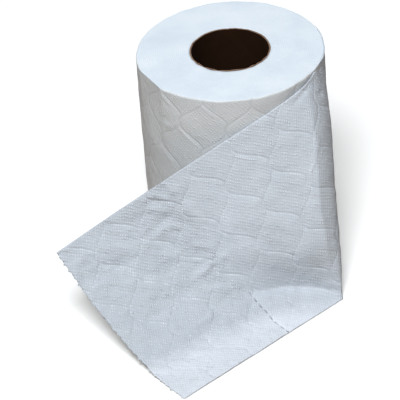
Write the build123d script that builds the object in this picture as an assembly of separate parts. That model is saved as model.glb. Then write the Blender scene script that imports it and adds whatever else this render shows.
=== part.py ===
from build123d import *
import os
from collections import namedtuple
from math import acos, atan2, cos, degrees, pi, radians, sin

# A toilet paper roll that stands on its end, with its loose end pulled off and leaning on the ground.
# The origin is on the axis of the core, in the plane of the base. Millimetres and degrees.

# The roll and its core.
roll_diameter = 100.0
sheet_width = 106.0
core_bore = 41.5
core_wall = 0.8
winding_clearance = 0.05
rim_chamfer = 0.6

# The turns, which show on both ends as one spiral line.
turn_lines = 4
turn_line_width = 0.35
turn_line_depth = 0.5
turn_line_margin = 2.0

# The loose end: one sheet, bent along straight lines. Past the roll it stands flat, for standing_run at
# its lower edge and straight_run at its upper edge. All its other bends fan out from the corner between.
sheet_thickness = 0.4
leave_azimuth = 1.4
last_turn = 12.0
standing_run = 85.6
straight_run = 8.9
corner_middle_angle = 111.6
corner_last_angle = 97.1
corner_first_turn = 67.9
corner_last_turn = 20.5
valley_spread = 59.6
corner_to_torn_edge = 111.2

# The perforation across the loose end, and the torn one at its end.
perforation_to_torn_edge = 72.5
slit_spacing = 4.2
slit_length = 3.0
slit_width = 0.8

# How finely the bends are drawn.
last_turn_bend_count = 3
corner_first_bend_count = 8
corner_last_bend_count = 5
valley_bend_count = 10

roll_radius = roll_diameter / 2
core_radius = core_bore / 2 + core_wall
winding_radius = core_radius + winding_clearance
root_radius = roll_radius - 1.5 * sheet_thickness
last_turn_length = root_radius * radians(last_turn)
corner = last_turn_length + standing_run
corner_first_angle = degrees(atan2(sheet_width, straight_run - standing_run))
torn_edge = corner + corner_to_torn_edge

UP = Vector(0, 0, 1)
STRAIGHT = degrees(pi / 2)
SAME_POINT = 1e-6

# A bend is a straight line across the sheet: where it starts on the lower edge, its angle from the
# sheet's length, and how far the sheet turns there, positive towards the roll.
Bend = namedtuple("Bend", "place angle turn")

# A flat panel of the sheet: where the sheet's own zero point would be, and its two directions.
Panel = namedtuple("Panel", "origin along across")


def on_panel(panel, along, across):
    return panel.origin + panel.along * along + panel.across * across


def outward(panel):
    return panel.across.cross(panel.along)


def spread_bends(places, angles, turn, count):
    """Share a turn between bends spread evenly over a range of places and angles."""
    steps = [(step + 0.5) / count for step in range(count)]
    first_place, last_place = places
    first_angle, last_angle = angles
    return [
        Bend(
            first_place + share * (last_place - first_place),
            first_angle + share * (last_angle - first_angle),
            turn / count,
        )
        for share in steps
    ]


def folded(panel, bends):
    """The panels that follow the given one, one after each bend."""
    panels = []
    for bend in bends:
        line = panel.along * cos(radians(bend.angle)) + panel.across * sin(radians(bend.angle))
        start = on_panel(panel, bend.place, 0)
        axis = Axis(start, line)
        panel = Panel(
            start + (panel.origin - start).rotate(axis, -bend.turn),
            panel.along.rotate(axis, -bend.turn),
            panel.across.rotate(axis, -bend.turn),
        )
        panels.append(panel)
    return panels


def corner_bends(angles, turn, count):
    """Bends that fan out from the corner on the ground."""
    return spread_bends((corner, corner), angles, turn, count)


def valley(centre, turn):
    """Bends at the corner that lay the leaning sheet down."""
    return corner_bends((centre + valley_spread / 2, centre - valley_spread / 2), turn, valley_bend_count)


def laying_valley(leaning):
    """The valley after which the sheet lies flat, found by Newton's method."""
    face = outward(leaning)
    meeting_line = face.cross(UP)
    centre = degrees(atan2(meeting_line.dot(leaning.across), meeting_line.dot(leaning.along))) % 180
    turn = -degrees(acos(face.dot(UP)))
    step = 0.01

    def tilt(trial_centre, trial_turn):
        last = folded(leaning, valley(trial_centre, trial_turn))[-1]
        return last.along.Z, last.across.Z

    for _ in range(8):
        along, across = tilt(centre, turn)
        along_centre, across_centre = tilt(centre + step, turn)
        along_turn, across_turn = tilt(centre, turn + step)
        a = (along_centre - along) / step
        b = (along_turn - along) / step
        c = (across_centre - across) / step
        d = (across_turn - across) / step
        determinant = a * d - b * c
        centre -= (d * along - b * across) / determinant
        turn -= (a * across - c * along) / determinant
    return valley(centre, turn)


def loose_end_panels():
    """All bends and panels of the loose end, from its last stretch on the roll to the torn edge."""
    azimuth = radians(leave_azimuth + last_turn)
    root = Panel(
        Vector(root_radius * cos(azimuth), root_radius * sin(azimuth), 0),
        Vector(sin(azimuth), -cos(azimuth), 0),
        UP,
    )
    bends = spread_bends((0, last_turn_length), (STRAIGHT, STRAIGHT), last_turn, last_turn_bend_count)
    bends += corner_bends(
        (corner_first_angle, corner_middle_angle), corner_first_turn, corner_first_bend_count
    )
    bends += corner_bends((corner_middle_angle, corner_last_angle), corner_last_turn, corner_last_bend_count)
    panels = [root] + folded(root, bends)
    laying_bends = laying_valley(panels[-1])
    panels += folded(panels[-1], laying_bends)
    return bends + laying_bends, panels


def far_end(bend):
    """Where a bend line leaves the flat sheet: on its upper edge, or else on the torn edge."""
    slope = sin(radians(bend.angle)) / cos(radians(bend.angle)) if bend.angle != STRAIGHT else None
    along = bend.place + (sheet_width / slope if slope else 0)
    if along <= torn_edge:
        return along, sheet_width
    return torn_edge, (torn_edge - bend.place) * slope


def mitre(first, second):
    """From a bend line on the inner face to the same line on the outer face."""
    middle = (outward(first) + outward(second)).normalized()
    return middle * (sheet_thickness / middle.dot(outward(first)))


def polygon_face(points):
    return Face(Wire.make_polygon(points, close=True))


def edge_faces(first, second):
    """The sheet's cut edge between two pairs of points, one on each face of the sheet."""
    inner_first, outer_first = first
    inner_second, outer_second = second
    faces = []
    if (outer_second - outer_first).length > SAME_POINT:
        faces.append(polygon_face([inner_first, outer_second, outer_first]))
    if (inner_second - inner_first).length > SAME_POINT:
        faces.append(polygon_face([inner_first, inner_second, outer_second]))
    return faces


def loose_end():
    """The loose end as one closed solid of mitred flat panels."""
    bends, panels = loose_end_panels()

    def pair(panel, along, across, offset):
        inner = on_panel(panel, along, across)
        return inner, inner + offset

    start_offset = outward(panels[0]) * sheet_thickness
    low_pairs = [pair(panels[0], 0, 0, start_offset)]
    far_places = [(0, sheet_width)]
    far_pairs = [pair(panels[0], 0, sheet_width, start_offset)]
    for bend, before, after in zip(bends, panels, panels[1:]):
        offset = mitre(before, after)
        low_pairs.append(pair(before, bend.place, 0, offset))
        far_places.append(far_end(bend))
        far_pairs.append(pair(before, *far_places[-1], offset))
    last_offset = outward(panels[-1]) * sheet_thickness
    low_pairs.append(pair(panels[-1], torn_edge, 0, last_offset))
    far_places.append((torn_edge, 0))
    far_pairs.append(low_pairs[-1])

    faces = []
    for number, panel in enumerate(panels):
        low_first, low_second = low_pairs[number], low_pairs[number + 1]
        top = [far_pairs[number]]
        passes_upper_corner = far_places[number][1] == sheet_width and far_places[number + 1][1] < sheet_width
        if passes_upper_corner:
            top.append(pair(panel, torn_edge, sheet_width, outward(panel) * sheet_thickness))
        if number + 1 < len(panels):
            top.append(far_pairs[number + 1])
        for side in (0, 1):
            outline = [low_first[side]]
            if (low_second[side] - low_first[side]).length > SAME_POINT:
                outline.append(low_second[side])
            outline += [points[side] for points in reversed(top)]
            faces.append(polygon_face(outline))
        faces += edge_faces(low_first, low_second)
        if number + 1 == len(panels):
            top.append(low_second)
        for first, second in zip(top, top[1:]):
            faces += edge_faces(first, second)
    start = [low_pairs[0][0], low_pairs[0][1], far_pairs[0][1], far_pairs[0][0]]
    faces.append(polygon_face(start))
    return Solid(Shell(faces))


def slits_across(place):
    """Slits in a row across the sheet, as boxes that stand through it."""
    bends, panels = loose_end_panels()
    count = int(sheet_width / slit_spacing)
    margin = (sheet_width - (count - 1) * slit_spacing) / 2
    slits = []
    for number in range(count):
        across = margin + number * slit_spacing
        passed = [
            bend for bend in bends
            if bend.place + across * cos(radians(bend.angle)) / sin(radians(bend.angle)) < place
        ]
        panel = panels[len(passed)]
        at = Plane(on_panel(panel, place, across), x_dir=panel.along, z_dir=outward(panel))
        slits.append(at * Box(slit_width, slit_length, 6 * sheet_thickness))
    return slits


def spiral_line():
    """A spiral from the core to the rim, of half circles about two centres in turn."""
    first_radius = winding_radius + turn_line_margin
    growth = (roll_radius - turn_line_margin - first_radius) / turn_lines
    line = Sketch()
    for half in range(2 * turn_lines):
        radius = first_radius + half * growth / 2
        side = 1 if half % 2 == 0 else -1
        half_plane = Pos(0, side * roll_radius) * Rectangle(4 * roll_radius, 2 * roll_radius)
        ring = Circle(radius + turn_line_width / 2) - Circle(radius - turn_line_width / 2)
        line += Pos(-side * growth / 4, 0) * (ring & half_plane)
    return line


def turns():
    """The wound turns as one ring, with the spiral of its turns on both ends."""
    ring = Cylinder(roll_radius, sheet_width, align=(Align.CENTER, Align.CENTER, Align.MIN))
    ring = chamfer(ring.edges().filter_by(GeomType.CIRCLE), rim_chamfer)
    ring -= Cylinder(winding_radius, sheet_width, align=(Align.CENTER, Align.CENTER, Align.MIN))
    line = extrude(spiral_line(), turn_line_depth)
    ring -= line
    ring -= Pos(0, 0, sheet_width - turn_line_depth) * line
    return ring


def tissue():
    """The whole sheet, wound and loose, as the one piece of paper that it is."""
    end = loose_end()
    end -= slits_across(torn_edge - perforation_to_torn_edge)
    end -= slits_across(torn_edge)
    return turns() + end


def core_tube():
    """The tube of wound cardboard that the sheet is wound on."""
    tube = Cylinder(core_radius, sheet_width, align=(Align.CENTER, Align.CENTER, Align.MIN))
    return tube - Cylinder(core_bore / 2, sheet_width, align=(Align.CENTER, Align.CENTER, Align.MIN))


os.makedirs("parts", exist_ok=True)
export_step(core_tube(), "parts/core_tube.step")
export_step(tissue(), "parts/tissue.step")
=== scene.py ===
from math import acos, atan2, cos, degrees, pi, radians, sin

import bpy
import numpy as np
from mathutils import Matrix


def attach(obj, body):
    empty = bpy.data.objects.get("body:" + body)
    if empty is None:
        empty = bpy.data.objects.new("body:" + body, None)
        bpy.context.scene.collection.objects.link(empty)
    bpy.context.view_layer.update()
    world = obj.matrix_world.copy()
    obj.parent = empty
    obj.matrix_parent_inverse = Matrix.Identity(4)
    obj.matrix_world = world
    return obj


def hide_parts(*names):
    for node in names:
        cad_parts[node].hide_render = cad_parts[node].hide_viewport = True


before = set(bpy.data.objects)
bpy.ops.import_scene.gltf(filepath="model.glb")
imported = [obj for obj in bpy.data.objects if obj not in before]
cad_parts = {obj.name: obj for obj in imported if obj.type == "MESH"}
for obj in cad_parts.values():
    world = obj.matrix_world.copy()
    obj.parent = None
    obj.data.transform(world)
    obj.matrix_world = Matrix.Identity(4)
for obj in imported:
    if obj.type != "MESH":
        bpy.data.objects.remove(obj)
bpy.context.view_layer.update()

# Lengths below are in millimetres until a mesh is made. Angles are in degrees.
MM = 0.001
MM_PER_UV = 100
# Farther than any place on the sheet.
FAR = 1e9

# The roll, as in the model, but for the thickness of one sheet.
ROLL_RADIUS = 50.0
SHEET_WIDTH = 106.0
CORE_RADIUS = 20.75
CORE_WALL = 0.8
WINDING_RADIUS = 21.6
PLY = 0.25

# The loose end, as in the model, but with more bends, so that it curves smoothly, and with more of it on
# the roll, so that its start shows less. The slits are open up to a height above the lower edge.
SHEET_THICKNESS = 0.4
LEAVE_AZIMUTH = 1.4
LAST_TURN = 20.0
STANDING_RUN = 85.6
CORNER_FIRST_LINE = 125.9
CORNER_MIDDLE_LINE = 111.6
CORNER_LAST_LINE = 97.1
CORNER_FIRST_TURN = 67.9
CORNER_LAST_TURN = 20.5
VALLEY_SPREAD = 59.6
CORNER_TO_TORN_EDGE = 111.2
PERFORATION_TO_TORN_EDGE = 72.5
OPEN_SLITS_TO = 33.0
ROOT_RADIUS = ROLL_RADIUS - 1.5 * SHEET_THICKNESS
SEAM_AZIMUTH = LEAVE_AZIMUTH + LAST_TURN
LAST_TURN_LENGTH = ROOT_RADIUS * radians(LAST_TURN)
CORNER = LAST_TURN_LENGTH + STANDING_RUN
TORN_EDGE = CORNER + CORNER_TO_TORN_EDGE
PERFORATION = TORN_EDGE - PERFORATION_TO_TORN_EDGE
UP = np.array([0.0, 0.0, 1.0])

# The quilt: one cell corner on the sheet, the two steps from cell to cell, about how far its lines are
# apart, and one pressed line of each kind, drawn from a cell corner. Then how many rows and columns of dots
# there are to each of the steps.
QUILT_CORNER = np.array([CORNER + 6.4, 69.2])
RISING_STEP = np.array([11.4, 18.3])
FALLING_STEP = np.array([14.1, -15.9])
QUILT_STEPS = np.array([RISING_STEP, FALLING_STEP])
LINE_SPACING = 19.0
PUFF = 0.2
RISING_LINE = [
    (0, 0), (1, 2.1), (2.6, 4), (4.8, 5.9), (8, 8.2),
    (10.8, 10.2), (12.4, 12.4), (13.2, 14.8), (12.6, 16.8), (11.4, 18.3),
]
FALLING_LINE = [(12.9, 12), (15.3, 9.6), (18, 7.5), (21.2, 5.6), (24, 3.6), (25.5, 2.4), (27, -3.9)]
BEAD_SPACING = 1.5
DOT_ROWS = (-3.0, 13.0)
DOT_COLUMNS = (18.0, -4.0)

# The fold near the ground: its line on the sheet from the corner, a place on it, and the directions along
# it and up from it.
FOLD_LINE = ((-2, 3), (3, 7.5), (11.5, 15.5), (21, 22.5), (32, 28.5), (46, 35))
FOLD_PLACE = np.array([CORNER + 10, 14.5])
FOLD_ALONG = np.array([0.84, 0.54])
FOLD_UP = np.array([-0.54, 0.84])

# Other small forms of the roll: the rounding of its edges, and where its rim is pressed flat.
ROUNDING = 1.0
FLAT_MIDDLE = 209
FLAT_HALF_WIDTH = 14


def smooth_step(low, high, x):
    """From 0 at low to 1 at high, with soft ends."""
    k = np.clip((x - low) / (high - low), 0, 1)
    return k * k * (3 - 2 * k)


def noise(x, y, size, seed):
    """Smooth noise from -1 to 1, in bumps about as wide as size."""
    period = 256
    grid = np.random.default_rng(seed).uniform(-1, 1, (period + 1, period + 1))
    grid[period], grid[:, period] = grid[0], grid[:, 0]
    u, v = x / size, y / size
    i, j = np.floor(u).astype(int), np.floor(v).astype(int)
    a, b = smooth_step(0, 1, u - i), smooth_step(0, 1, v - j)
    i, j = i % period, j % period
    near = grid[i, j] * (1 - a) + grid[i + 1, j] * a
    far = grid[i, j + 1] * (1 - a) + grid[i + 1, j + 1] * a
    return near * (1 - b) + far * b


def from_line(x, y, points):
    """How far each place is from a line through points, and how far along the line it is, from 0 to 1."""
    nearest = np.full(x.shape, FAR)
    share = np.zeros(x.shape)
    points = np.array(points, dtype=float)
    lengths = np.linalg.norm(np.diff(points, axis=0), axis=1)
    passed = 0.0
    for start, end, length in zip(points, points[1:], lengths):
        if length == 0:
            continue
        step = (end - start) / length
        k = np.clip((x - start[0]) * step[0] + (y - start[1]) * step[1], 0, length)
        distance = np.hypot(x - start[0] - k * step[0], y - start[1] - k * step[1])
        closer = distance < nearest
        nearest = np.where(closer, distance, nearest)
        share = np.where(closer, (passed + k) / lengths.sum(), share)
        passed += length
    return nearest, share


def crease(x, y, points, depth, width, crisp=False):
    """A fold line that is deepest in its middle and runs out at both ends, round or crisp at its bottom."""
    distance, share = from_line(x, y, points)
    profile = np.exp(-np.hypot(distance, 0.25) / width) if crisp else np.exp(-(distance / width) ** 2)
    return depth * profile * np.sin(pi * np.clip(share, 0.02, 0.98)) ** 0.5


def pressed_lines(s, t):
    """For each family of pressed lines, a count that is whole on its lines, and the distance to one."""
    place = np.stack([s, t], -1) - QUILT_CORNER
    cell = np.floor(place @ np.linalg.inv(QUILT_STEPS))
    x, y = np.moveaxis(place - cell @ QUILT_STEPS, -1, 0)
    found = []
    for line, own, other, flat, passed in (
        (np.array(RISING_LINE), RISING_STEP, FALLING_STEP, cell[..., 1], 1),
        (np.array(FALLING_LINE)[::-1], -FALLING_STEP, -RISING_STEP, -cell[..., 0], 0),
    ):
        # The line repeats along its own step, and its family along the other one.
        points = np.concatenate([line + i * own for i in range(-3, 3)])
        before, after, count = np.full(s.shape, FAR), np.full(s.shape, FAR), np.full(s.shape, -9.0)
        for number in range(-3, 4):
            shifted = points + number * other
            distance = from_line(x, y, shifted)[0]
            if passed:
                beyond = x >= np.interp(y, shifted[:, 1], shifted[:, 0])
            else:
                beyond = y <= np.interp(x, shifted[::-1, 0], shifted[::-1, 1])
            before = np.where(beyond, distance, before)
            after = np.where(beyond, after, np.minimum(after, distance))
            count = np.where(beyond, number, count)
        found.append((flat + count + before / (before + after), np.minimum(before, after)))
    return found


def grooves(rising, falling, rising_depth, falling_depth, width):
    """Depth of the pressed lines at two distances from them."""
    return rising_depth * np.exp(-(rising / width) ** 2) + falling_depth * np.exp(-(falling / width) ** 2)


def quilt(rising, falling):
    """Height of the quilted sheet at two distances from pressed lines: cells are puffed up between them."""
    puffed = PUFF * smooth_step(0, 6.5, np.minimum(rising, falling + 0.8))
    return puffed - grooves(rising, falling, 0.07, 0.05, 0.6)


def wound_lift(s, t, rising, falling):
    """Height of the outer turn where it lies on the roll."""
    uneven = 0.25 * noise(s, t, 17, 3) + 0.12 * noise(s, t, 6, 4)
    return 0.33 * (quilt(rising, falling) - PUFF) - grooves(rising, falling, 0.02, 0.035, 0.7) + uneven


def out_of_round(azimuth):
    """How far the roll's side is from a true circle."""
    return 0.25 * np.cos(np.radians(2 * (azimuth - 30))) + 0.12 * np.cos(np.radians(3 * (azimuth - 75)))


def crumpled(s, t, size, seed):
    """Soft ridges, from 0 to 1, that run longer along the rows of dots than across them."""
    along, across = (s + t) * 0.7071, (s - t) * 0.7071
    wander = 0.35 * size * noise(s, t, 2.2 * size, seed + 1)
    return 1 - np.abs(noise(along / 2.0 + wander, across + wander, size, seed))


def turned(vector, axis, angle):
    c, s = cos(angle), sin(angle)
    return vector * c + np.cross(axis, vector) * s + axis * np.dot(axis, vector) * (1 - c)


def spread_bends(places, angles, turn, count):
    """Share a turn between bends, as place, angle and turn, over a range of places and angles."""
    steps = [(step + 0.5) / count for step in range(count)]
    return [
        (places[0] + k * (places[1] - places[0]), angles[0] + k * (angles[1] - angles[0]), turn / count)
        for k in steps
    ]


def folded(panel, bends):
    """The flat panels, as origin, along and across, that follow the given one."""
    panels = []
    for place, angle, turn in bends:
        origin, along, across = panel
        axis = along * cos(radians(angle)) + across * sin(radians(angle))
        start = origin + along * place
        a = -radians(turn)
        panel = (start + turned(origin - start, axis, a), turned(along, axis, a), turned(across, axis, a))
        panels.append(panel)
    return panels


def valley(centre, turn):
    angles = (centre + VALLEY_SPREAD / 2, centre - VALLEY_SPREAD / 2)
    return spread_bends((CORNER, CORNER), angles, turn, 40)


def laying_valley(leaning):
    """The valley after which the sheet lies flat, found by Newton's method."""
    origin, along, across = leaning
    face = np.cross(across, along)
    meeting = np.cross(face, UP)
    found = np.array([degrees(atan2(meeting @ across, meeting @ along)) % 180, -degrees(acos(face @ UP))])
    step = 0.01

    def tilt(centre, turn):
        last = folded(leaning, valley(centre, turn))[-1]
        return np.array([last[1][2], last[2][2]])

    for _ in range(8):
        here = tilt(*found)
        slopes = np.array([(tilt(found[0] + step, found[1]) - here) / step,
                           (tilt(found[0], found[1] + step) - here) / step]).T
        found = found - np.linalg.solve(slopes, here)
    return valley(*found)


def loose_end_panels():
    """All bends and panels of the loose end, from the roll to the torn edge."""
    azimuth = radians(SEAM_AZIMUTH)
    root = (
        np.array([ROOT_RADIUS * cos(azimuth), ROOT_RADIUS * sin(azimuth), 0.0]),
        np.array([sin(azimuth), -cos(azimuth), 0.0]),
        UP,
    )
    bends = spread_bends((0, LAST_TURN_LENGTH), (90.0, 90.0), LAST_TURN, 12)
    bends += spread_bends((CORNER, CORNER), (CORNER_FIRST_LINE, CORNER_MIDDLE_LINE), CORNER_FIRST_TURN, 40)
    bends += spread_bends((CORNER, CORNER), (CORNER_MIDDLE_LINE, CORNER_LAST_LINE), CORNER_LAST_TURN, 20)
    panels = [root] + folded(root, bends)
    laying = laying_valley(panels[-1])
    panels += folded(panels[-1], laying)
    return bends + laying, panels


def on_sheet(s, t):
    """Where points of the flat sheet are, and which way its outer face looks there."""
    bends, panels = loose_end_panels()
    index = np.zeros(s.shape, dtype=int)
    for place, angle, _ in bends:
        index += (s > place + t * (cos(radians(angle)) / sin(radians(angle)))).astype(int)
    origin, along, across = (np.array([panel[k] for panel in panels]) for k in range(3))
    outward = np.cross(across, along)[index]
    return origin[index] + along[index] * s[..., None] + across[index] * t[..., None], outward


def linked(name, data):
    """A new object in the scene."""
    obj = bpy.data.objects.new(name, data)
    bpy.context.scene.collection.objects.link(obj)
    return obj


def mesh_object(name, points, faces, uv, materials, face_material=None, lines=None, edge_count=0):
    """A mesh from points in millimetres, smooth but for the last faces. Each point has its place on the
    sheet in uv, and its counts of pressed lines in lines."""
    mesh = bpy.data.meshes.new(name)
    mesh.from_pydata((points.reshape(-1, 3) * MM).tolist(), [], faces.reshape(-1, 4).tolist())
    corners = np.empty(len(mesh.loops), dtype=np.int32)
    mesh.loops.foreach_get("vertex_index", corners)
    for layer_name, places in (("Sheet", uv), ("Lines", lines)):
        if places is not None:
            layer = mesh.uv_layers.new(name=layer_name)
            layer.data.foreach_set("uv", places.reshape(-1, 2)[corners].astype(np.float32).ravel())
    for material in materials:
        mesh.materials.append(material)
    if face_material is not None:
        mesh.polygons.foreach_set("material_index", face_material.ravel().astype(np.int32))
    mesh.polygons.foreach_set("use_smooth", np.arange(len(mesh.polygons)) < len(mesh.polygons) - edge_count)
    mesh.validate()
    mesh.update()
    return linked(name, mesh)


def grid_faces(rows, columns, closed=False):
    """Quads of a grid whose points are numbered row by row. A closed grid joins up in both directions."""
    numbers = np.arange(rows * columns).reshape(rows, columns)
    if closed:
        numbers = np.hstack([numbers, numbers[:, :1]])
        numbers = np.vstack([numbers, numbers[:1]])
    return np.stack([numbers[:-1, :-1], numbers[:-1, 1:], numbers[1:, 1:], numbers[1:, :-1]], -1)


def swept(section, azimuths):
    """Each value of a section's points, and the azimuth, over a grid of section points and azimuths."""
    values = [np.repeat(section[:, k:k + 1], len(azimuths), 1) for k in range(section.shape[1])]
    return values + [np.repeat(azimuths[None, :], len(section), 0)]


def round_points(radius, azimuth, height):
    a = np.radians(azimuth)
    return np.stack([radius * np.cos(a), radius * np.sin(a), height], -1)


# Materials.

class Graph:
    """The nodes of a material or of the world. Values are numbers, colours or outputs of other nodes."""

    def __init__(self, owner):
        owner.use_nodes = True
        self.nodes, self.links = owner.node_tree.nodes, owner.node_tree.links

    def join(self, value, socket):
        if isinstance(value, bpy.types.NodeSocket):
            self.links.new(value, socket)
        else:
            socket.default_value = (*value, 1) if isinstance(value, tuple) else value

    def add(self, kind, output, **values):
        node = self.nodes.new("ShaderNode" + kind)
        for name, value in values.items():
            self.join(value, node.inputs[name])
        return node.outputs[output]

    def op(self, operation, *values):
        node = self.nodes.new("ShaderNodeMath")
        node.operation = operation
        for value, socket in zip(values, node.inputs):
            self.join(value, socket)
        return node.outputs[0]

    def weighted(self, first, second, weights, constant=0.0):
        """Two values, each multiplied by its weight, and a constant, added up."""
        return self.op("ADD", self.op("MULTIPLY_ADD", first, weights[0], constant),
                       self.op("MULTIPLY", second, weights[1]))

    def limited(self, value):
        return self.op("MINIMUM", self.op("MAXIMUM", value, 0.0), 1.0)

    def ramp(self, value, slope, start):
        """A straight line in the value, kept between 0 and 1."""
        return self.limited(self.op("MULTIPLY_ADD", value, slope, start))

    def noise(self, place, scale, detail=2.0):
        return self.add("TexNoise", "Fac", Vector=place, Scale=scale, Detail=detail)

    def bump(self, height, distance):
        return self.add("Bump", "Normal", Distance=distance, Strength=1.0, Height=height)

    def coordinates(self, kind):
        return self.add("TexCoord", kind)

    def uv(self, layer):
        node = self.nodes.new("ShaderNodeUVMap")
        node.uv_map = layer
        return node.outputs["UV"]

    def parts(self, vector):
        node = self.nodes.new("ShaderNodeSeparateXYZ")
        self.join(vector, node.inputs[0])
        return node.outputs["X"], node.outputs["Y"], node.outputs["Z"]

    def mix(self, factor, first, second):
        """From the first colour to the second."""
        node = self.nodes.new("ShaderNodeMix")
        node.data_type = "RGBA"
        for name, value in (("Factor", factor), ("A", first), ("B", second)):
            self.join(value, node.inputs[name])
        return node.outputs["Result"]

    def seen_by_camera(self):
        """1 for what the camera sees, also reflected or through something, and 0 for all other light."""
        path = self.nodes.new("ShaderNodeLightPath").outputs
        seen = self.op("ADD", path["Is Camera Ray"], path["Is Glossy Ray"])
        return self.op("MINIMUM", self.op("ADD", seen, path["Is Transmission Ray"]), 1.0)


def shader(name, roughness, specular=0.25):
    """A material, its nodes and the sockets of its shader."""
    material = bpy.data.materials.new(name)
    graph = Graph(material)
    sockets = graph.nodes["Principled BSDF"].inputs
    sockets["Roughness"].default_value = roughness
    sockets["Specular IOR Level"].default_value = specular
    return material, graph, sockets


def single_sheet_painted_light_and_shade(graph, tone, along, across, past, laid_painted_light_share):
    """Painted light and shade on a single sheet: painted light where it lies on the ground, painted shade
    where it stands near the ground, and painted shade past the perforation.
    """
    op = graph.op
    height = graph.parts(graph.coordinates("Object"))[2]
    # Painted light where the sheet lies on the ground, as if the ground lit it from below through the sheet.
    laid_painted_light = graph.ramp(height, -280.0, 1.5)
    # The sheet stands off the ground just below the fold, so it gets painted shade there and no painted
    # light.
    # Distances up from the fold and along it are in mm.
    up = graph.weighted(along, across, FOLD_UP * MM_PER_UV, 5.0 - FOLD_PLACE @ FOLD_UP)
    beside = graph.weighted(along, across, FOLD_ALONG * MM_PER_UV, -FOLD_PLACE @ FOLD_ALONG)
    near_fold = op("MULTIPLY", graph.ramp(op("ABSOLUTE", up), -1 / 15, 1.0), graph.ramp(beside, -1 / 40, 1.5))
    laid_painted_light = op("MULTIPLY", laid_painted_light, op("SUBTRACT", 1.0, near_fold))
    # Painted shade where the sheet stands near the ground and does not lie on it.
    standing_painted_shade = op("MULTIPLY", graph.ramp(height, -25.0, 1.25), op("SUBTRACT", 1.0, laid_painted_light))
    # Painted shade past the perforation, and painted light where the sheet lies on the ground.
    tone = op("ADD", tone, graph.weighted(past, laid_painted_light, (-0.10, laid_painted_light_share)))
    return op("SUBTRACT", tone, op("MULTIPLY", standing_painted_shade, 0.14))


def paper(name, dark_and_shaded_colour, colour, relief, laid_painted_light_share=0.0, wound_colours=None):
    """Embossed tissue: pressed lines, rows of dots that follow them, and fibres. A single sheet has a share
    of painted light where it lies on the ground, and wound colours, which it has where it lies on the roll."""
    material, graph, sockets = shader(name, 0.92)
    op = graph.op
    place = graph.uv("Sheet")
    along, across, _ = graph.parts(place)
    rising, falling, _ = graph.parts(graph.uv("Lines"))

    # Cell numbers along the two steps of the quilt, from the sheet's own place, and counts of dots from them.
    steps = np.linalg.inv(QUILT_STEPS) * MM_PER_UV
    start = -QUILT_CORNER / MM_PER_UV @ steps
    cells = [graph.weighted(along, across, steps[:, k], start[k]) for k in range(2)]
    row_count, column_count = graph.weighted(*cells, DOT_ROWS), graph.weighted(*cells, DOT_COLUMNS)
    wander = op("MULTIPLY_ADD", graph.noise(place, 26.0), 5.0, -2.5)
    sway = op("COSINE", op("MULTIPLY", op("SUBTRACT", cells[0], 0.72), 2 * pi))
    rows = op("COSINE", op("MULTIPLY_ADD", row_count, 2 * pi, op("MULTIPLY_ADD", sway, -1.2, wander)))
    staggered = op("MULTIPLY_ADD", row_count, 0.5, column_count)
    columns = op("COSINE", op("MULTIPLY_ADD", staggered, 2 * pi, wander))

    # The dots are strong in some patches and faint in others.
    patch_x, patch_y = op("MULTIPLY", row_count, 0.55), op("MULTIPLY", column_count, 0.3)
    patches = graph.noise(graph.add("CombineXYZ", 0, X=patch_x, Y=patch_y), 1.3, 3.0)
    patches = op("MULTIPLY_ADD", patches, 5.5, -2.0)
    patches = op("MINIMUM", op("MAXIMUM", patches, 0.15), 1.7)
    dots = op("MULTIPLY", op("MULTIPLY_ADD", rows, 0.5, 0.5), op("MULTIPLY_ADD", columns, 0.5, 0.5))
    dots = op("MULTIPLY", dots, patches)

    def groove(count, width):
        """A line pressed where a count is whole, with a width in mm."""
        share = op("MULTIPLY", op("PINGPONG", count, 0.5), LINE_SPACING / width)
        return op("EXPONENT", op("MULTIPLY", op("MULTIPLY", share, share), -1.0))

    # The falling lines are rows of beads.
    beads = op("COSINE", op("MULTIPLY", op("SUBTRACT", along, across), 2 * pi * MM_PER_UV / BEAD_SPACING))
    falling_groove = groove(falling, 0.5)
    pressed = op("MULTIPLY", falling_groove, op("MULTIPLY_ADD", beads, 0.4, 0.6))
    pressed = op("ADD", groove(rising, 0.5), pressed)
    beside_line = op("ADD", groove(rising, 0.9), op("MULTIPLY", falling_groove, 0.5))
    clear = op("SUBTRACT", 1.0, op("MINIMUM", beside_line, 1.0))

    # Past the perforation a single sheet has more relief, and its dots show more.
    past = graph.ramp(along, 20.0, -PERFORATION / 5)
    fibre = graph.noise(place, 320.0, 3.0)
    clouds = graph.noise(place, 9.0, 4.0)
    height = op("ADD", op("MULTIPLY", dots, clear), graph.weighted(fibre, pressed, (0.8, -0.7)))
    if laid_painted_light_share:
        height = op("MULTIPLY", height, op("MULTIPLY_ADD", past, 0.35, 0.75))
    graph.join(graph.bump(height, 0.00026 * relief), sockets["Normal"])

    # The dots are lighter than the paper between them: partly the paper's own density, partly painted light
    # on the raised dots and painted shade between them. Past the perforation the contrast is stronger.
    tone = op("MULTIPLY", dots, op("MULTIPLY_ADD", past, 0.3, 0.6))
    tone = op("ADD", tone, graph.weighted(fibre, clouds, (0.5, 0.4), -0.31))
    if laid_painted_light_share:
        tone = single_sheet_painted_light_and_shade(graph, tone, along, across, past, laid_painted_light_share)
    else:
        # On the wall the pressed lines are painted darker: painted shade in the grooves.
        tone = op("SUBTRACT", tone, op("MULTIPLY", op("MINIMUM", pressed, 1.0), 0.35))
    tone = graph.limited(tone)
    found = graph.mix(tone, dark_and_shaded_colour, colour)
    if wound_colours:
        found = graph.mix(graph.ramp(along, -7.0, 1.68), found, graph.mix(tone, *wound_colours))
    graph.join(found, sockets["Base Color"])
    return material


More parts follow.
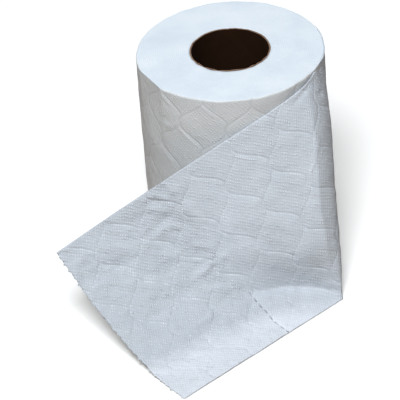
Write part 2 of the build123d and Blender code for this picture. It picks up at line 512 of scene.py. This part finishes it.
def wound_ends(name, line_colour, colour):
    """The cut edges of the turns: fine rings about the core, a little uneven."""
    ring_spacing = 1.1 * MM
    material, graph, sockets = shader(name, 0.95)
    op = graph.op
    place = graph.coordinates("Object")
    x, y, _ = graph.parts(place)
    radius = op("SQRT", op("ADD", op("MULTIPLY", x, x), op("MULTIPLY", y, y)))
    turns = graph.weighted(radius, graph.noise(place, 60.0), (2 * pi / ring_spacing, 9.0))
    patches = graph.noise(place, 45.0, 4.0)
    fluff = graph.noise(place, 2200.0, 3.0)
    rings = op("MULTIPLY", op("MULTIPLY_ADD", op("SINE", turns), 0.5, 0.5), patches)
    graph.join(graph.bump(op("MULTIPLY_ADD", rings, 0.6, fluff), 0.00022), sockets["Normal"])
    tone = op("ADD", graph.weighted(rings, patches, (0.5, 1.3), -0.3), op("MULTIPLY_ADD", fluff, 0.9, -0.45))
    graph.join(graph.mix(graph.limited(tone), line_colour, colour), sockets["Base Color"])
    return material


def cardboard(name, dark_colour, colour):
    """Spiral wound cardboard: a fine gap along the winding, fibres and blotches."""
    winding_pitch = 65 / MM_PER_UV
    material, graph, sockets = shader(name, 0.95, specular=0.05)
    op = graph.op
    place = graph.uv("Sheet")
    around, height, _ = graph.parts(place)
    winding = op("MULTIPLY", graph.weighted(around, height, (1.0, 1.3)), 1 / winding_pitch)
    gap = op("LESS_THAN", op("PINGPONG", winding, 0.5), 0.012)
    fibre = graph.noise(place, 180.0, 4.0)
    blotch = graph.noise(place, 14.0, 4.0)
    graph.join(graph.bump(op("SUBTRACT", op("MULTIPLY", fibre, 0.5), gap), 0.00015), sockets["Normal"])
    tone = op("SUBTRACT", graph.weighted(fibre, blotch, (0.5, 0.5)), op("MULTIPLY", gap, 0.5))
    graph.join(graph.mix(graph.limited(tone), dark_colour, colour), sockets["Base Color"])
    return material


# The loose end and the ends of the turns are a cooler blue than the wall of the same tissue: painted cool
# light from above.
SHEET_COLOURS = ((0.55, 0.595, 0.66), (0.84, 0.88, 0.96))
WALL_COLOURS = ((0.74, 0.775, 0.81), (0.92, 0.945, 0.975))
sheet_paper = paper("sheet_paper", *SHEET_COLOURS, relief=1.1, laid_painted_light_share=0.56, wound_colours=WALL_COLOURS)
wall_paper = paper("wall_paper", *WALL_COLOURS, relief=0.5)
end_paper = wound_ends("end_paper", (0.67, 0.755, 0.85), (0.835, 0.895, 0.958))
# The core's walls are nearly black, far darker than the cut edge of the same board: painted shade inside the
# tube.
shaded_core_board = cardboard("shaded_core_board", (0.012, 0.005, 0.003), (0.038, 0.018, 0.009))
core_edge = cardboard("core_edge", (0.17, 0.10, 0.07), (0.36, 0.24, 0.17))


# The turns of the roll.

def wound_turns():
    columns = 380
    # Three columns run on under the loose end and dip, so that the seam doesn't show.
    azimuths = SEAM_AZIMUTH + (np.arange(columns) - 3) * 360 / columns
    radii_in = np.linspace(WINDING_RADIUS, ROLL_RADIUS - 1.6, 26)
    rounding_angles = np.linspace(0, 90, 5)

    def rounded(height, angle):
        out, up = cos(radians(angle)), sin(radians(angle))
        return ROLL_RADIUS - ROUNDING + ROUNDING * out, height + ROUNDING * up, out, up

    # Each point of the section is its radius, its height and the direction that it faces, out and up.
    section = [(r, 0.0, 0.0, -1.0) for r in radii_in]
    section += [rounded(ROUNDING, a - 90) for a in rounding_angles[:-1]]
    wall_start = len(section)
    section += [(ROLL_RADIUS, z, 1.0, 0.0) for z in np.linspace(ROUNDING, SHEET_WIDTH - ROUNDING, 124)]
    wall_end = len(section)
    section += [rounded(SHEET_WIDTH - ROUNDING, a) for a in rounding_angles[1:]]
    section += [(r, SHEET_WIDTH, 0.0, 1.0) for r in radii_in[::-1]]
    section += [(WINDING_RADIUS, z, -1.0, 0.0) for z in np.linspace(SHEET_WIDTH - 2, 2, 4)]
    radius, height, out, up, azimuth = swept(np.array(section), azimuths)
    s = -np.radians(azimuth - SEAM_AZIMUTH) * ROLL_RADIUS
    share = np.maximum(azimuth - SEAM_AZIMUTH, 0) / 360
    dip = 0.08 * np.maximum(SEAM_AZIMUTH - azimuth, 0) ** 2
    on_wall = np.clip(out, 0, 1)
    near_wall = smooth_step(34, 49, radius)

    # The outer turn: quilted, a little creased, and one sheet lower where the loose end covers it.
    (rising_count, rising), (falling_count, falling) = pressed_lines(s, height)
    under = smooth_step(298, 312, azimuth)
    lift = wound_lift(s, height, rising, falling) * (1 - 0.7 * under)
    around = azimuth % 360
    mm_around = np.radians(around) * ROLL_RADIUS
    for points, depth, width in (
        (((213, 87.5), (221, 88.5), (230, 86.5)), -0.5, 1.5),
        (((212, 84), (221, 84), (230, 84.3)), 0.4, 1.2),
        (((213, 81), (219, 80.6), (224, 82.0)), -0.3, 1.3),
        (((222.5, 101.4), (229, 97)), 0.6, 0.9),
        (((222.0, 99.8), (229, 95.4)), -0.5, 1.0),
        (((248, 103.5), (254, 99.6), (260, 95)), 0.5, 0.8),
        (((231, 87.6), (240, 80.5), (245.5, 76.0)), 0.55, 0.8),
        (((215, 70.0), (223, 63.8), (228.5, 59.5)), 0.6, 0.8),
        (((199, 38), (203, 35), (206, 31)), 0.7, 1.0),
        (((230, 20), (262, 34), (290, 40)), -0.5, 2.0),
    ):
        points = [(radians(a) * ROLL_RADIUS, z) for a, z in points]
        lift += 0.35 * crease(mm_around, height, points, depth, width)
    # The turn under the loose end lies deeper, but not at the rim where the sheet has left the roll.
    on_roll = smooth_step(350, 362, azimuth)
    at_rim = smooth_step(88, 99, height) * (1 - 0.5 * on_roll)
    lift -= PLY * share + 0.7 * under * (1 - at_rim) + dip
    radius = radius + lift * on_wall
    upper_rounding = (up > 0.01) & (out > 0.01)
    radius = radius + np.where(upper_rounding, (1 - out) * 0.85 * smooth_step(318, 340, azimuth), 0)

    # The rim is pressed flat at the front left, and the whole roll is not quite round.
    from_flat = around - FLAT_MIDDLE
    chord = ROLL_RADIUS * cos(radians(FLAT_HALF_WIDTH)) / np.cos(np.radians(from_flat))
    cut = np.maximum(radius - chord, 0) * (np.abs(from_flat) < FLAT_HALF_WIDTH) * smooth_step(62, 103, height)
    radius = radius - cut + near_wall * out_of_round(around)

    # The ends: the turns stand a little unevenly.
    x, y, _ = np.moveaxis(round_points(radius, around, height), -1, 0)
    uneven = 0.16 * noise(x, y, 2.4, 7) + 0.22 * noise(x, y, 14, 8)
    uneven += 0.25 * noise(x, y, 5, 9) * smooth_step(46, 49.5, radius)
    height = height + np.where(up > 0, 1.0, 0.25) * np.abs(up) * (uneven - 0.25 * (up > 0))
    height = np.maximum(height, 0.0)

    # The ends' own look goes on over half of the rounding.
    rows = len(section)
    kind = np.zeros((rows, columns), dtype=int)
    kind[:wall_start - 2] = 1
    kind[wall_end + 2:] = 1
    return mesh_object(
        "turns", round_points(radius, azimuth, height), grid_faces(rows, columns, closed=True),
        np.stack([s, height], -1) / MM_PER_UV, [wall_paper, end_paper], kind,
        np.stack([rising_count, falling_count], -1)
    )


# The loose end.

def sheet_lift(s, t, rising, falling):
    """How far the sheet stands off its smooth form: quilt, creases and slackness."""
    lift = quilt(rising, falling)
    loose = smooth_step(20, 65, s)
    torn_off = smooth_step(PERFORATION - 4, PERFORATION + 4, s)
    low = 1 - smooth_step(6, 30, t)
    lift += loose * (0.35 + 0.35 * torn_off * (1 - low)) * noise(s, t, 16, 11)
    lift += loose * (0.15 + 0.10 * torn_off * (1 - low)) * noise(s, t, 7, 12)
    lift += loose * (0.30 + 0.75 * torn_off) * (1 - 0.6 * low) * (crumpled(s, t, 7.0, 41) - 0.6)
    lift += loose * (0.14 + 0.46 * torn_off) * (1 - 0.5 * low) * (crumpled(s, t, 3.6, 51) - 0.6)
    for points, depth, width, crisp in (
        (((0, 10), (-8, 30), (-16, 50), (-25, 66), (-44, 100)), 2.4, 7.0, True),
        (FOLD_LINE[:5], -0.8, 1.5, True),
        (((34, 32), (46, 37), (58, 36), (68, 44), (76, 53), (90, 60)), -0.9, 2.6, True),
        (((60, 32.5), (70, 32.5), (82, 34)), 0.6, 1.5, False),
        (((36, 55), (48, 54.5), (64, 54)), 0.7, 1.6, False),
        (((44, 90.5), (56, 87.5), (71, 85.5)), -0.5, 2.0, False),
        (((58, 64.0), (70, 66), (84, 70)), -0.7, 2.6, False),
        (((78, 50), (88, 50.5), (97, 54)), -0.7, 2.4, False),
        (((81, 78), (90, 83), (97, 90)), -0.7, 2.2, False),
        (((36, 57), (44, 52), (52, 44)), 0.4, 1.5, False),
        (((-52, 104.5), (-44, 103.5), (-33, 102)), -0.5, 1.2, False),
        (((-35, 79), (-28, 73), (-20, 66)), 0.45, 1.2, False),
        (((-57, 94), (-53, 95), (-49, 97)), -0.5, 1.8, False),
    ):
        lift += crease(s - CORNER, t, points, depth, width, crisp)
    # Above the fold the sheet stands steeper, and leans back further up.
    from_fold = np.stack([s, t], -1) - FOLD_PLACE
    above, along = from_fold @ FOLD_UP, from_fold @ FOLD_ALONG
    bulge = smooth_step(0, 20, above) * (1 - smooth_step(20, 75, above))
    lift += 3.2 * bulge * smooth_step(-12, 4, along) * (1 - smooth_step(30, 65, along))
    lift += crease(s - CORNER, t, FOLD_LINE, -4.5, 4.5 + 5.5 * smooth_step(-5, 5, above), True)
    beside = np.exp(-(above / 14) ** 2) * smooth_step(-10, 6, along) * (1 - smooth_step(50, 75, along))
    lift += beside * (1.3 * (crumpled(s, t, 6.5, 61) - 0.6) + 0.7 * noise(s, t, 9, 62))
    perforation_depth = 0.12 + 0.2 * (1 - smooth_step(26, 38, t))
    return lift - perforation_depth * np.exp(-(s - PERFORATION) ** 2)


def loose_end():
    slit = 0.28
    rows = 127
    before = np.linspace(0, PERFORATION - slit / 2, 219)
    after = np.linspace(PERFORATION + slit / 2, TORN_EDGE, 84)
    s, t = np.meshgrid(np.concatenate([before, after]), np.linspace(0, SHEET_WIDTH, rows))

    # The slits are open near the lower edge and closed above, where a groove shows them.
    closing = 0.08 * smooth_step(22, OPEN_SLITS_TO, t[:, 0])
    s[:, before.size - 1] += closing
    s[:, before.size] -= closing

    # Bits of the torn bridges stand out at the end.
    random = np.random.default_rng(21)
    bridges = np.arange(rows) % 5 == 2
    nibs = np.where(bridges, random.uniform(0.1, 1.1, rows), random.uniform(-0.25, 0.05, rows))
    past = smooth_step(PERFORATION + 40, TORN_EDGE, s)
    s = s + past ** 6 * (nibs[:, None] - 0.35)

    # The directions that the flat panels face are evened out over the bends.
    places, outward = on_sheet(s, t)
    for _ in range(3):
        inner = outward.copy()
        inner[:, 1:-1] += outward[:, :-2] + outward[:, 2:]
        inner[1:-1] += outward[:-2] + outward[2:]
        outward = inner / np.linalg.norm(inner, axis=-1, keepdims=True)
    # The sheet starts just below the wall's face, and its upper edge stays near the rim after it has left it.
    flush = 0.35 * (1 - smooth_step(15, 50, s)) - 0.05 * (1 - smooth_step(0, 2, s))
    hug = np.minimum(0.0075 * np.maximum(s - 17, 0) ** 2, 3.5) * (1 - smooth_step(38, 75, s))
    flush = flush - hug * smooth_step(78, 104, t)
    (rising_count, rising), (falling_count, falling) = pressed_lines(s, t)
    on_roll = 1 - smooth_step(2, 17, s)
    wound = wound_lift(s, t, rising, falling) + out_of_round(SEAM_AZIMUTH - np.degrees(s / ROLL_RADIUS))
    lift = flush + sheet_lift(s, t, rising, falling) * (1 - on_roll) + wound * on_roll
    upper = places + outward * (lift + PLY)[..., None]
    lower = places + outward * lift[..., None]
    under_ground = np.minimum(lower[..., 2], 0)[..., None] * UP
    upper, lower = upper - under_ground, lower - under_ground
    quads = grid_faces(*s.shape)
    slits = [row for row in range(rows - 1) if row % 5 < 3 and t[row, 0] < OPEN_SLITS_TO]
    open_quads = np.zeros(quads.shape[:2], dtype=bool)
    open_quads[slits, before.size - 1] = True
    top = quads[~open_quads][:, ::-1]
    bottom = quads[~open_quads] + s.size

    # Walls close the sheet at its outer edges and round the slits.
    edges = [edge for a, b, c, d in top.tolist() for edge in ((a, b), (b, c), (c, d), (d, a))]
    directed = set(edges)
    walls = [(b, a, a + s.size, b + s.size) for a, b in edges if (b, a) not in directed]
    uv = np.stack([s, t], -1) / MM_PER_UV
    lines = np.stack([rising_count, falling_count], -1)
    return mesh_object(
        "loose_end", np.stack([upper, lower]), np.concatenate([top, bottom, np.array(walls)]),
        np.stack([uv, uv]), [sheet_paper], lines=np.stack([lines, lines]), edge_count=len(walls)
    )


# The core, with a slightly torn upper edge.

def core():
    columns = 150
    heights = [0.0, 0.5, *np.linspace(2, SHEET_WIDTH - 3, 20)]
    heights += [SHEET_WIDTH - 1.5, SHEET_WIDTH - 0.6, SHEET_WIDTH]
    section = [(CORE_RADIUS, z) for z in heights[::-1]] + [(CORE_RADIUS + CORE_WALL, z) for z in heights]
    radius, height, around = swept(np.array(section), np.arange(columns) * 360 / columns)
    at_top = smooth_step(SHEET_WIDTH - 4, SHEET_WIDTH, height)
    frayed = 0.35 * noise(around, 0 * around, 4.0, 31) + 0.3 * noise(around, 0 * around, 11.0, 32)
    inside = radius < CORE_RADIUS + 0.1
    radius = radius - inside * at_top * np.clip(frayed, 0, 1) * 0.5
    height = height + at_top * (frayed * 0.6 - 0.15)
    rows = len(section)
    kind = np.zeros((rows, columns), dtype=int)
    kind[[len(heights) - 1, rows - 1]] = 1
    return mesh_object(
        "core", round_points(radius, around, height), grid_faces(rows, columns, closed=True),
        np.stack([np.radians(around) * CORE_RADIUS, height], -1) / MM_PER_UV, [shaded_core_board, core_edge], kind
    )


turns_piece = wound_turns()
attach(turns_piece, "root")
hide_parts("tissue")

sheet_piece = loose_end()
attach(sheet_piece, "root")
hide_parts("tissue")

core_piece = core()
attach(core_piece, "root")
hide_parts("core_tube")


# The floor and the background are white to the camera, and the floor keeps the shadow.

FLOOR_REACH = 3.0
FLOOR_HEIGHT = -0.0003
WHITE = (1.0, 1.0, 1.0)

floor_mesh = bpy.data.meshes.new("floor")
floor_corners = [
    (x * FLOOR_REACH, y * FLOOR_REACH, FLOOR_HEIGHT) for x, y in ((-1, -1), (1, -1), (1, 1), (-1, 1))
]
floor_mesh.from_pydata(floor_corners, [], [(0, 1, 2, 3)])
floor = linked("floor", floor_mesh)
floor_material, graph, sockets = shader("floor", 1.0, specular=0.0)
seen = graph.seen_by_camera()
graph.join(graph.mix(seen, (0.26, 0.19, 0.13), WHITE), sockets["Base Color"])
graph.join(WHITE, sockets["Emission Color"])
graph.join(graph.op("MULTIPLY", seen, 0.15), sockets["Emission Strength"])
floor_mesh.materials.append(floor_material)

# The room is lighter in front and above, and darker at the right.
ROOM_STRENGTH = 0.10
MORE_IN_FRONT = 0.12
MORE_ABOVE = 0.08
LESS_AT_RIGHT = 0.07

world = bpy.data.worlds.new("world")
bpy.context.scene.world = world
graph = Graph(world)
x, y, z = graph.parts(graph.coordinates("Generated"))
front = graph.op("MAXIMUM", graph.op("MULTIPLY", y, -MORE_IN_FRONT), 0.0)
above = graph.op("MAXIMUM", graph.op("MULTIPLY", z, MORE_ABOVE), 0.0)
right = graph.op("MAXIMUM", graph.op("MULTIPLY", x, LESS_AT_RIGHT), 0.0)
room = graph.op("ADD", graph.op("ADD", front, above), ROOM_STRENGTH)
room = graph.op("SUBTRACT", room, right)
seen = graph.seen_by_camera()
background = graph.nodes["Background"].inputs
graph.join(graph.op("MAXIMUM", room, seen), background["Strength"])
graph.join(graph.mix(seen, (0.99, 1.0, 1.01), WHITE), background["Color"])


def pose(right, upward, back, place):
    """The matrix of an object, from its own three directions and its place in metres."""
    matrix = Matrix.Identity(4)
    for row in range(3):
        matrix[row] = right[row], upward[row], back[row], place[row]
    return matrix


LAMP_TARGET = np.array([0.0, 0.0, 0.05])


def area_light(name, place, size, power, colour):
    """A round lamp that shines at about the middle of the roll. Its place is in metres."""
    light = bpy.data.lights.new(name, "AREA")
    light.shape = "DISK"
    light.size = size
    light.energy = power
    light.color = colour
    obj = linked(name, light)
    obj.visible_camera = False
    back = place - LAMP_TARGET
    back /= np.linalg.norm(back)
    right = np.cross(UP, back)
    right /= np.linalg.norm(right)
    obj.matrix_world = pose(right, np.cross(back, right), back, place)


area_light("key", (-0.16, -0.82, 1.56), size=0.8, power=27.5, colour=(0.96, 0.99, 1.0))
area_light("back", (0.25, 1.50, 0.36), size=1.0, power=9.5, colour=WHITE)

# The camera, fitted to the ellipses of the top, both sides of the roll and the edges of the loose end.
CAMERA_DISTANCE = 1112.2
CAMERA_ELEVATION = 32.033
CAMERA_ROLL = -3.478
TOP_CENTRE_PIXEL = np.array([229.942, 49.043])
FOCAL_PIXELS = 2095.3
IMAGE_SIZE = 400
SENSOR_WIDTH = 36.0


def add_camera():
    elevation, roll = radians(CAMERA_ELEVATION), radians(CAMERA_ROLL)
    forward = np.array([0.0, cos(elevation), -sin(elevation)])
    right = np.array([1.0, 0.0, 0.0])
    axes = np.array([right, -np.cross(right, forward), forward])
    # The view is turned so that the centre of the top falls on its pixel.
    aim = np.array([*(TOP_CENTRE_PIXEL - IMAGE_SIZE / 2), FOCAL_PIXELS])
    aim /= np.linalg.norm(aim)
    v = np.cross(UP, aim)
    k = np.array([[0, -v[2], v[1]], [v[2], 0, -v[0]], [-v[1], v[0], 0]])
    swing = np.eye(3) + k + k @ k / (1 + aim[2])
    tilt = np.array([[cos(roll), -sin(roll), 0], [sin(roll), cos(roll), 0], [0, 0, 1]])
    axes = swing @ tilt @ axes
    data = bpy.data.cameras.new("camera")
    data.sensor_width = SENSOR_WIDTH
    data.lens = SENSOR_WIDTH * FOCAL_PIXELS / IMAGE_SIZE
    data.clip_start = 0.01
    camera = linked("camera", data)
    place = SHEET_WIDTH * UP - CAMERA_DISTANCE * forward
    camera.matrix_world = pose(axes[0], -axes[1], -axes[2], place * MM)
    bpy.context.scene.camera = camera


add_camera()
bpy.context.scene.view_settings.view_transform = "Standard"
